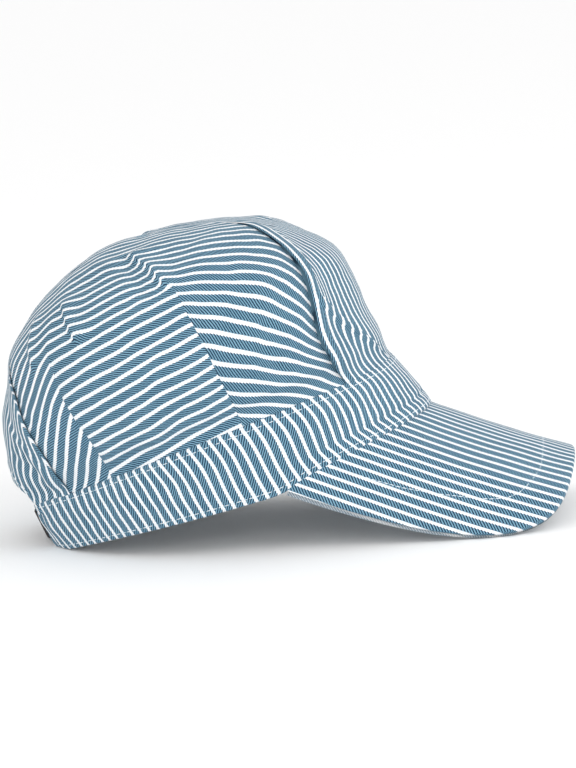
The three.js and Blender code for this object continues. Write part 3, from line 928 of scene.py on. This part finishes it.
# The cloth flares out over the opening in the back, between two angles and up to a height share
REAR_FLARE = 2.0
REAR_FLARE_ANGLES = (148, 160)
REAR_FLARE_TOP = 0.3

# The cloth behind a rolled fold runs back in three steps, then out again under the next panel's edge
UNDER_STEP = 2.2
UNDER_SINK = 0.15
POCKET_DEPTH = 0.3
POCKET_OUT = 0.8
# Its U stays on the blue, and its V is where a dark line of the twill runs along the fold: painted shade for
# the hollow under the fold
PAINTED_SHADE_POCKET_U = [0.12, 0.24, 0.36, 0.45, 0.5]
PAINTED_SHADE_POCKET_V = 0.7

MESH_STEPS = {"front": 44, "low_front": 40, "strip": 6, "side": 58, "diagonal": 58, "back": 32, "rear": 40}
MESH_ROWS = 150
LOW_FRONT_ROWS = 60
ROLL_STEPS = 8
TUCK_ROWS = 3
INSIDE_MESH = (181, 44)
# The inside's cloth in mm, for a degree round the crown and for its whole height
INSIDE_CLOTH = (1.3, 110)


def fold_strength(line, up):
    end = OPEN_TO[line]
    top = 1 - PLEAT_LOSS * smooth(*PLEAT_LOSS_HEIGHTS, up) if line == PLEAT else 1
    low = mix(FOLD_AT_BAND[line], 1, smooth(0, FOLD_GROWS, up))
    return low * (1 - smooth(end - FOLD_CLOSES, end, up)) * top


def distance_from(line, angle, up):
    at = line_angle(line, up)
    return np.sign(angle - at) * norm(crown_point(angle, up) - crown_point(at, up))


def rear_flare(angle, up):
    return REAR_FLARE * smooth(*REAR_FLARE_ANGLES, angle) * (1 - smooth(0, REAR_FLARE_TOP, up))


def crown_relief(panel, angle, up):
    """Height over the crown's plain form of the pleats, gathers and darts, apart from the crumples."""
    height = np.zeros_like(angle)
    pleat, gather = fold_strength(PLEAT, up), fold_strength(GATHER, up)
    from_pleat = distance_from(PLEAT, angle, up)
    if panel in ("front", "low_front", "strip"):
        height += PLEAT_LIFT * pleat * mix(1, PLEAT_KEPT, smooth(0, PLEAT_REACH, -from_pleat))
    if panel == "side":
        hollow = PLEAT_HOLLOW * pleat * smooth(0.02, 0.12, up)
        height -= hollow * (1 - smooth(0, PLEAT_HOLLOW_REACH, from_pleat))
    if panel == "rear":
        near = distance_from(GATHER, angle, up)
        height += GATHER_LIFT * gather * mix(1, GATHER_KEPT, smooth(0, GATHER_REACH, near))
        height += rear_flare(angle, up)
        inside = smooth(BAND_END - 2, BAND_END + 2, angle)
        above = (up - rise_share(arch_height(angle))) * CROWN_HEIGHT
        height += HEM_LIFT * inside * (1 - smooth(HEM_WIDTH - HEM_EDGE, HEM_WIDTH, above))
    for line in (SIDE_DART, BACK_DART):
        away = np.abs(distance_from(line, angle, up))
        height -= DART_DEPTH * fold_strength(line, up) * np.exp(-away / DART_REACH)
    return height


def rise_share(height):
    ups = np.linspace(0, 1, 400)
    rises = spline_rows(SECTIONS, ups)[:, 0] * CROWN_HEIGHT
    return np.interp(height, rises, ups)


def crown_surface(panel, angle, up):
    """Points of the dressed crown, and how far its crumples shift the stripes."""
    plain, normal = crown_point(angle, up), crown_normal(angle, up)
    height, shift = crumple(plain, normal)
    free = smooth(0, 0.03, up)
    height = crown_relief(panel, angle, up) + (height - CLOTH_IN) * free
    return plain + normal * height[..., None], shift * smooth(-0.02, 0.1, up)


def crown_panel(panel):
    """One panel's sheet: its points, U, V, angles and height shares."""
    rows = LOW_FRONT_ROWS if panel == "low_front" else MESH_ROWS
    shares = np.linspace(first_share(panel), 1, MESH_STEPS[panel] + 1)[:, None]
    tops = np.linspace(0, 1, rows + 1)[None, :]
    low, high = np.zeros_like(shares), np.ones_like(shares)
    if panel == "rear":
        low = rise_share(arch_height(panel_angle(panel, shares, 0 * shares)))
    if panel == "front":
        low = crease_height(shares)
    if panel == "low_front":
        high = crease_height(shares)
    share, up = shares + 0 * tops, mix(low, high, tops)
    angle = panel_angle(panel, share, up)
    point, shift = crown_surface(panel, angle, up)
    u, v = plan_at(panel, share, up)
    return point, u + shift, v, angle, up


def extended(sheet, extra, axis, at_end):
    """A sheet with further rows or columns at one side."""
    return [np.concatenate((old, new) if at_end else (new, old), axis) for old, new in zip(sheet, extra)]


def tucked(point, u, v, angle, up):
    """Carries a panel's lower edge down behind the band, or turns it in where the crown is open."""
    turn = angle[:, :1]
    inward = unit(-crown_normal(turn, 0 * turn) * LEVEL)
    shares = np.arange(TUCK_ROWS, 0, -1) / TUCK_ROWS
    bend = pi * shares[:, None]
    down = -CROWN_TUCK * shares[:, None] * Z_AXIS
    rolled = CROWN_WALL / 2 * (inward * (1 - np.cos(bend)) - np.sin(bend) * Z_AXIS)
    extra = point[:, :1] + np.where(turn[..., None] < BAND_END, down, rolled)
    same_u, same_angle, same_up = (np.repeat(rows[:, :1], TUCK_ROWS, 1) for rows in (u, angle, up))
    extra_v = v[:, :1] - CROWN_TUCK * shares
    return extended((point, u, v, angle, up), (extra, same_u, extra_v, same_angle, same_up), 1, False)


def with_roll(point, u, v, angle, up, line, at_end):
    """Carries a panel's edge over a rolled fold and back under itself."""
    edge, side = (-1, 1) if at_end else (0, -1)
    base = crown_point(angle[edge], up[edge])
    normal = crown_normal(angle[edge], up[edge])
    climb = unit(np.gradient(base, axis=0))
    tangent = crown_point(angle[edge] + 0.3, up[edge]) - crown_point(angle[edge] - 0.3, up[edge])
    outward = side * unit(tangent - climb * dot(tangent, climb)[:, None])
    strength = fold_strength(line, up[edge])[:, None]
    height = np.maximum(dot(point[edge] - base, normal), 0)
    radius = np.minimum(CLOTH_ROLL, height / 2)[:, None]
    turns = pi * np.arange(1, ROLL_STEPS + 1) / ROLL_STEPS
    rows = [point[edge] + radius * (outward * sin(turn) - normal * (1 - cos(turn))) for turn in turns]
    rows += [rows[-1] - (outward * UNDER_STEP + normal * UNDER_SINK) * k * strength for k in (1, 2, 3)]
    depth = PLEAT_HOLLOW * strength + CLOTH_IN + POCKET_DEPTH
    rows += [base + outward * reach * strength - normal * depth for reach in (-3 * UNDER_STEP, POCKET_OUT)]
    # the pocket's U and V hold it on the blue and on a dark twill line: painted shade under the fold
    past = np.concatenate([turns * CLOTH_ROLL, pi * CLOTH_ROLL + np.array(PAINTED_SHADE_POCKET_U)])[:, None]
    rolled = np.arange(len(rows))[:, None] < ROLL_STEPS
    extra = [np.stack(rows), u[edge] + side * past, np.where(rolled, v[edge], PAINTED_SHADE_POCKET_V)]
    return extended((point, u, v), [new[::side] for new in extra], 0, at_end)


def crown_halves():
    pieces = []
    for panel in MESH_STEPS:
        sheet = crown_panel(panel)
        if panel not in ("strip", "front"):
            sheet = tucked(*sheet)
        if panel == "strip":
            sheet = with_roll(*sheet, PLEAT, at_end=True)
        if panel == "rear":
            sheet = with_roll(*sheet, GATHER, at_end=False)
        point, u, v = sheet[:3]
        for side, word in ((-1, "right"), (1, "left")):
            uv = np.stack([u * side, v], -1)
            pieces.append(grid_mesh(f"crown_{panel}_{word}", point * np.array([side, 1, 1]), uv, CROWN_CLOTH,
                                    flip=side < 0))
    return pieces


def crown_inside():
    """The cloth's reverse inside the crown, clear of the folds that go inwards."""
    angles = np.linspace(-180, 180, INSIDE_MESH[0])[:, None]
    low = rise_share(arch_height(angles))
    up = mix(low, 1, np.linspace(0, 1, INSIDE_MESH[1])[None, :])
    angle = angles + 0 * up
    turn = np.abs(angle)
    normal = crown_normal(angle, up)
    normal[..., 2] *= smooth(0, 0.1, up)
    normal = unit(normal)
    # level with the hem at the lower edge
    wall = CROWN_WALL + INSIDE_CLEARANCE * smooth(0, 0.07, up - low)
    point = crown_point(angle, up) + normal * (rear_flare(turn, up) - wall)[..., None]
    hidden = turn[:, :1, None] < BAND_END
    tuck = point[:, :1] - CROWN_TUCK * hidden * Z_AXIS
    out = tuck + normal[:, :1] * CROWN_WALL
    uv = np.stack([angle, up], -1) * np.array(INSIDE_CLOTH)
    uv = np.concatenate([uv[:, :1] - CROWN_TUCK - 1, uv[:, :1] - CROWN_TUCK, uv], 1)
    return grid_mesh("crown_inside", np.concatenate([out, tuck, point], 1), uv, REVERSE_CLOTH, flip=True)


def arch_stitches():
    """Stitches along the hem of the opening in the back."""
    angles = np.linspace(BAND_END + 0.6, 360 - BAND_END - 0.6, 80)
    turn = np.where(angles > 180, 360 - angles, angles)
    up = rise_share(arch_height(turn)) + (HEM_WIDTH - HEM_STITCH_INSET) / CROWN_HEIGHT
    point, _ = crown_surface("rear", turn, up)
    normal = crown_normal(turn, up)
    mirror = np.where((angles > 180)[:, None], [-1.0, 1, 1], [1.0, 1, 1])
    return stitch_row("arch_stitches", point * mirror, normal * mirror)


crown = joined(crown_halves() + [crown_inside(), arch_stitches()], "crown_cloth")

# Band

BAND_STEPS = 480
BAND_BULGE = 0.55
STITCH_INSET = 1.7
STITCHED_HEIGHT = 30.0
BAND_END_HEM = 5.0
BAND_END_SHIFT = 2.6
BAND_END_PAST = 1.2

# Turns over the band's two rounded ends, in radians
END_TURNS = (0.5, 1.0, 1.3, 1.57)

# The crease just above the visor's seam: its depth in mm, its height share and half its width
BAND_CREASE = 1.3
BAND_CREASE_AT = 0.22
BAND_CREASE_REACH = 0.055

# Pitch of the stripes round the band, in mm, by angle from the front
BAND_PITCH_ANGLES = [0, 28, 45, 62, 75, 90, 112, 128, 143, 160]
BAND_PITCHES = [4.8, 4.6, 4.5, 5.9, 6.0, 5.6, 5.2, 5.0, 5.6, 5.4]

# Lean of the band's stripes towards the back, in degrees, by angle (columns) and height share (rows)
BAND_LEAN_ANGLES = [0, 15, 30, 45, 55, 63, 75, 90, 105, 120, 130, 142, 150, 160]
BAND_LEAN_HEIGHTS = [0.0, 0.1, 0.2, 0.32, 0.5, 0.65, 0.8, 0.92, 1.0]
BAND_STRIPE_LEAN = [
    [0, 4, 28, 30, 24, 10, 0, 5, 6, 6, 8, 12, 18, 22],
    [0, 3, 24, 28, 20, 9, 4, 6, 7, 7, 8, 12, 20, 22],
    [0, 0, 5, 8, 6, 5, 4, 5, 7, 8, 8, 12, 21, 22],
    [0, -6, -16, -16, -9, -3, 1, 2, 4, 9, 9, 10, 16, 18],
    [0, -7, -19, -18, -11, -6, 0, 0, 4, 11, 9, 7, 11, 14],
    [0, -6, -18, -15, -7, -3, 2, 6, 10, 5, 3, 6, 8, 12],
    [0, -2, -2, -1, 4, 8, 4, 12, 16, -1, -3, 5, 8, 10],
    [0, 2, 10, 12, 12, 12, 8, 14, 16, 0, -4, 6, 8, 10],
    [0, 4, 14, 16, 16, 14, 10, 14, 16, 2, -2, 8, 10, 10],
]


def band_arc_table():
    """Length round the band in the cloth's own mm, which run closer together where it is gathered."""
    angles = np.linspace(-180, 180, 1441)
    steps = norm(np.diff(band_point(angles, 0.5, 0, 0), axis=0))
    middle = np.abs(angles[1:] + angles[:-1]) / 2
    steps = steps * BAND_PITCH / np.interp(middle, BAND_PITCH_ANGLES, BAND_PITCHES)
    lengths = np.concatenate([[0], np.cumsum(steps)])
    return angles, lengths - lengths[len(lengths) // 2]


ARC_ANGLES, ARC_LENGTHS = band_arc_table()


def lean_shift(angles, share, height):
    """How far the stripes have moved towards the back, from the band's lower edge to a height share."""
    table = np.tan(np.radians(np.array(BAND_STRIPE_LEAN, float)))
    columns = np.array([np.interp(np.abs(angles), BAND_LEAN_ANGLES, row) for row in table])
    steps = np.linspace(0, share, 16)
    rows = np.interp((steps[:-1] + steps[1:]) / 2, BAND_LEAN_HEIGHTS, np.arange(len(table)))
    places = np.arange(len(angles))[:, None] + 0 * rows
    leans = between(columns.T, places, rows + 0 * places)
    return (leans * np.diff(steps)).sum(-1) * height * np.sign(angles)


def band_puckers(points, angles, share):
    """Small hollows and swellings of the band's cloth, deepest just above the visor's seam."""
    swell = 0.28 * ripple(points, 21, 26, 12) + 0.1 * ripple(points, 23, 10, 6)
    front = 1 - smooth(58, 72, np.abs(angles))
    crease = exp(-((share - BAND_CREASE_AT) / BAND_CREASE_REACH) ** 2)
    deep = BAND_CREASE * front * crease * (0.7 + 0.3 * np.sin(np.abs(angles) * 0.9))
    return swell * sin(pi * share) - deep


def band_outside(angles, share):
    """Points on the band's outside between its rounded edges."""
    round_size = BAND_WALL / 2
    z = mix(band_bottom(angles, 0) + round_size, band_top(angles) - round_size, share)
    plain = band_point(angles, share, -BAND_BULGE * sin(pi * share) ** 0.6, z)
    return plain + unit(plain * LEVEL) * band_puckers(plain, angles, share)[:, None], z


def rounded_ends(points, uv, middle):
    """Closes the two ends of a tube of rings by drawing them in over a rounded edge."""
    for edge, inner, side in ((0, 1, -1), (-1, -2, 1)):
        core = middle[edge]
        outward = unit((core - middle[inner]).mean(0))
        extra = np.stack([core + (points[edge] - core) * cos(t) + outward * BAND_WALL / 2 * sin(t)
                          for t in END_TURNS])
        extra_uv = np.stack([uv[edge]] * len(END_TURNS))
        points, uv = extended((points, uv), (extra[::side], extra_uv), 0, side > 0)
    return points, uv


def band_mesh():
    """The band as a grid of columns round its wall: outside, top edge, inside and lower edge."""
    angles = np.linspace(-BAND_END - BAND_END_PAST, BAND_END + BAND_END_PAST, BAND_STEPS + 1)
    round_size = BAND_WALL / 2
    bottom_out, bottom_in = band_bottom(angles, 0), band_bottom(angles, BAND_WALL)
    top = band_top(angles)
    arc = np.interp(angles, ARC_ANGLES, ARC_LENGTHS)
    hem = np.sign(angles) * BAND_END_SHIFT * smooth(0, 0.5, np.abs(arc) - arc.max() + BAND_END_HEM)
    columns, cores, uvs = [], [], []

    def add(point, share, z):
        columns.append(point)
        cores.append(band_point(angles, share, round_size, z))
        uvs.append(np.stack([arc - lean_shift(angles, share, top - bottom_out) + hem, z], -1))

    def round_edge(eighths, share, level, side):
        for eighth in eighths:
            turn = pi * eighth / 8
            z = level + side * round_size * (1 - sin(turn))
            add(band_point(angles, share, round_size * (1 - cos(turn)), z), share, z)

    round_edge(range(4), 0.0, bottom_out, 1)
    for share in np.linspace(0, 1, 37):
        point, z = band_outside(angles, share)
        add(point, share, z)
    round_edge(range(1, 9), 1.0, top, -1)
    for share in np.linspace(1, 0, 9):
        z = mix(bottom_in + round_size, top - round_size, share)
        add(band_point(angles, share, BAND_WALL, z), share, z)
    round_edge(range(7, 3, -1), 0.0, bottom_in, 1)
    points, uv = rounded_ends(*(np.stack(rows, 1) for rows in (columns, uvs, cores)))
    return grid_mesh("band_cloth", points, uv, BAND_CLOTH)


def band_stitches():
    angles = np.linspace(-BAND_END + 2, BAND_END - 2, 400)
    inset = STITCH_INSET / STITCHED_HEIGHT
    rows = []
    for name, share in (("top", 1 - inset), ("bottom", inset)):
        point, _ = band_outside(angles, share)
        rows.append(stitch_row("band_stitches_" + name, point, point * LEVEL))
    return rows


band = joined([band_mesh()] + band_stitches(), "band_cloth")

# Visor

VISOR_STEPS = 220
VISOR_ROWS = 48
VISOR_RIPPLE = 0.22

# How far the plies' sides stand out from the visor's plain width, so that the reverse shows beside the top
REVERSE_SHOWS = 1.1
TOP_DRAWN_IN = -1.2

# The visor's row of stitches: (arc, forward) in mm, from the middle to the corner
VISOR_STITCHING = [(0, 62.3), (16.7, 62.6), (34.1, 63.2), (43, 61.4), (51, 58.6), (57, 55.6), (62, 50.4),
                   (65.3, 42.6), (67.7, 34.1), (71.9, 15.6), (75.2, -3), (76.4, -18), (77, -32), (78.6, -43)]


def visor_normal(arc):
    turn = np.asarray(arc) / VISOR_RADIUS
    return np.stack([np.sin(turn), -np.cos(turn) * DROP_SINE, np.cos(turn) * DROP_COSINE], -1)


def visor_swell(point):
    return VISOR_RIPPLE * ripple(point, 31, 60, 24)


def visor_mesh(name, top, bottom, wider, material, flip):
    place = np.linspace(-1, 1, VISOR_STEPS + 1)
    share = np.sign(place) * (1 - (1 - np.abs(place)) ** 2.0)
    plain_arc = VISOR_HALF_ARC * share
    reach = visor_reach(plain_arc)
    root = visor_root(plain_arc, 0) - VISOR_TUCK * (1 - np.abs(share) ** 4)
    arc = plain_arc + wider * share * np.abs(share) ** 3
    radius = abs(bottom - top)
    start = np.maximum(reach - radius, root)
    rows, uvs = [], []

    def add(forward, depth, along):
        point = visor_point(arc, forward, depth)
        swell = visor_swell(point) * smooth(0, 12, forward - root) * (depth == top)
        rows.append(point + visor_normal(arc) * swell[:, None])
        uvs.append(np.stack([arc, -along + 0 * arc], -1))

    for t in np.linspace(0, 1, VISOR_ROWS):
        forward = mix(root, start, t)
        add(forward, top, forward)
    for k in range(1, 7):
        turn = pi / 2 * k / 6
        forward = start + np.minimum(radius, reach - root) * sin(turn)
        add(forward, top + (bottom - top) * (1 - cos(turn)), forward + radius * turn)
    return grid_mesh(name, np.stack(rows, 1), np.stack(uvs, 1), material, flip=flip)


def visor_stitches():
    half = np.array(VISOR_STITCHING, float)
    path = np.concatenate([half[:0:-1] * np.array([-1, 1]), half])
    steps = np.linspace(0, len(path) - 1, 600)
    arc, forward = (np.interp(steps, np.arange(len(path)), column) for column in path.T)
    point = visor_point(arc, forward, 0)
    normal = visor_normal(arc)
    return stitch_row("visor_stitches", point + normal * visor_swell(point)[:, None], normal)


visor_top = joined([visor_mesh("visor_top_cloth", 0, VISOR_MIDDLE, TOP_DRAWN_IN, VISOR_CLOTH, False),
                    visor_stitches()], "visor_top_cloth")
visor_under = visor_mesh("visor_under_cloth", VISOR_DEPTH, VISOR_MIDDLE, REVERSE_SHOWS, REVERSE_CLOTH, True)


def strap_mesh():
    start = BAND_END - STRAP_TUCK / (BAND_SIDE * pi / 180)
    top = float(band_top(180.0)) - CROWN_TUCK - STRAP_BELOW_CROWN
    angles = np.linspace(start, 360 - start, 60)
    # the section: height share and depth into the wall
    profile = [(share, 0.0) for share in np.linspace(0, 1, 9)]
    profile += [(1.0, STRAP_WALL * k / 4) for k in (1, 2, 3)]
    profile += [(share, STRAP_WALL) for share in np.linspace(1, 0, 9)]
    profile += [(0.0, STRAP_WALL * k / 4) for k in (3, 2, 1, 0)]
    columns, uvs = [], []
    for share, depth in profile:
        z = top - STRAP_WIDTH * (1 - share)
        columns.append(band_point(angles, z / BAND_HEIGHT, BAND_WALL + GAP + depth, z))
        uvs.append(np.stack([angles * 2, z + 0 * angles], -1))
    return grid_mesh("strap_webbing", np.stack(columns, 1), np.stack(uvs, 1), WEBBING)


strap = strap_mesh()

for piece, node, slot in ((crown, "crown", "striped_cloth"), (band, "band", "striped_cloth"),
                          (visor_top, "visor_top", "striped_cloth"),
                          (visor_under, "visor_underside", "reverse_cloth"),
                          (strap, "back_strap", "black_webbing")):
    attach(piece, "root")
    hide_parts(node)

# Floor, light and camera

FLOOR_SIZE = 60.0
bpy.ops.mesh.primitive_plane_add(size=FLOOR_SIZE, location=(0, 0, 0))
floor = bpy.context.object
floor.name = "floor"
paper = bpy.data.materials.new("floor_paper")
paper.use_nodes = True
paper.node_tree.nodes["Principled BSDF"].inputs["Base Color"].default_value = (0.97, 0.97, 0.97, 1)
paper.node_tree.nodes["Principled BSDF"].inputs["Roughness"].default_value = 0.9
floor.data.materials.append(paper)

world = bpy.data.worlds.new("studio")
world.use_nodes = True
background = world.node_tree.nodes["Background"]
background.inputs["Color"].default_value = (1, 1, 1, 1)
background.inputs["Strength"].default_value = 1.0
bpy.context.scene.world = world


def area_light(name, place, target, size, power):
    light = bpy.data.lights.new(name, "AREA")
    light.shape = "SQUARE"
    light.size = size
    light.energy = power
    lamp = bpy.data.objects.new(name, light)
    lamp.location = place
    lamp.rotation_euler = (Vector(target) - Vector(place)).to_track_quat("-Z", "Y").to_euler()
    bpy.context.scene.collection.objects.link(lamp)


area_light("key", (-0.9, -1.3, 1.2), (0, 0, 0.08), 1.0, 7)
area_light("side", (-1.8, -0.3, 0.45), (0, 0, 0.08), 1.2, 9)

# The photograph's camera, in the band's frame: bearing towards the front from the wearer's right,
# height, roll, pixels per mm, and where the point that it looks at falls in the picture.
PHOTO_WIDTH, PHOTO_HEIGHT = 576, 768
CAMERA_BEARING = 7.2
CAMERA_HEIGHT = 7.9
CAMERA_ROLL = -22.77
CAMERA_SCALE = 1.864
CAMERA_CENTRE = (253.3, 350.6)
CAMERA_TARGET = np.array([0, -32.0, 60.0])
CAMERA_DISTANCE = 1700.0


def photo_camera():
    a, e, r = (radians(v) for v in (CAMERA_BEARING, CAMERA_HEIGHT, CAMERA_ROLL))
    away = np.array([-cos(a) * cos(e), -sin(a) * cos(e), sin(e)])
    right = np.array([sin(a), -cos(a), 0.0])
    upward = np.cross(right, -away)
    image_right = right * cos(r) + upward * sin(r)
    image_up = -right * sin(r) + upward * cos(r)
    place = to_rest(CAMERA_TARGET + away * CAMERA_DISTANCE)
    axes = [Vector(pitched(axis)) for axis in (image_right, image_up, away)]
    turn = Matrix(axes).transposed()
    data = bpy.data.cameras.new("photo_camera")
    data.sensor_fit = "HORIZONTAL"
    data.lens = data.sensor_width * CAMERA_SCALE * CAMERA_DISTANCE / PHOTO_WIDTH
    data.shift_x = (PHOTO_WIDTH / 2 - CAMERA_CENTRE[0]) / PHOTO_WIDTH
    data.shift_y = (CAMERA_CENTRE[1] - PHOTO_HEIGHT / 2) / PHOTO_WIDTH
    data.clip_end = 20
    camera = bpy.data.objects.new("photo_camera", data)
    camera.matrix_world = Matrix.Translation(Vector(place)) @ turn.to_4x4()
    bpy.context.scene.collection.objects.link(camera)
    bpy.context.scene.camera = camera


photo_camera()
bpy.context.scene.view_settings.view_transform = "Standard"
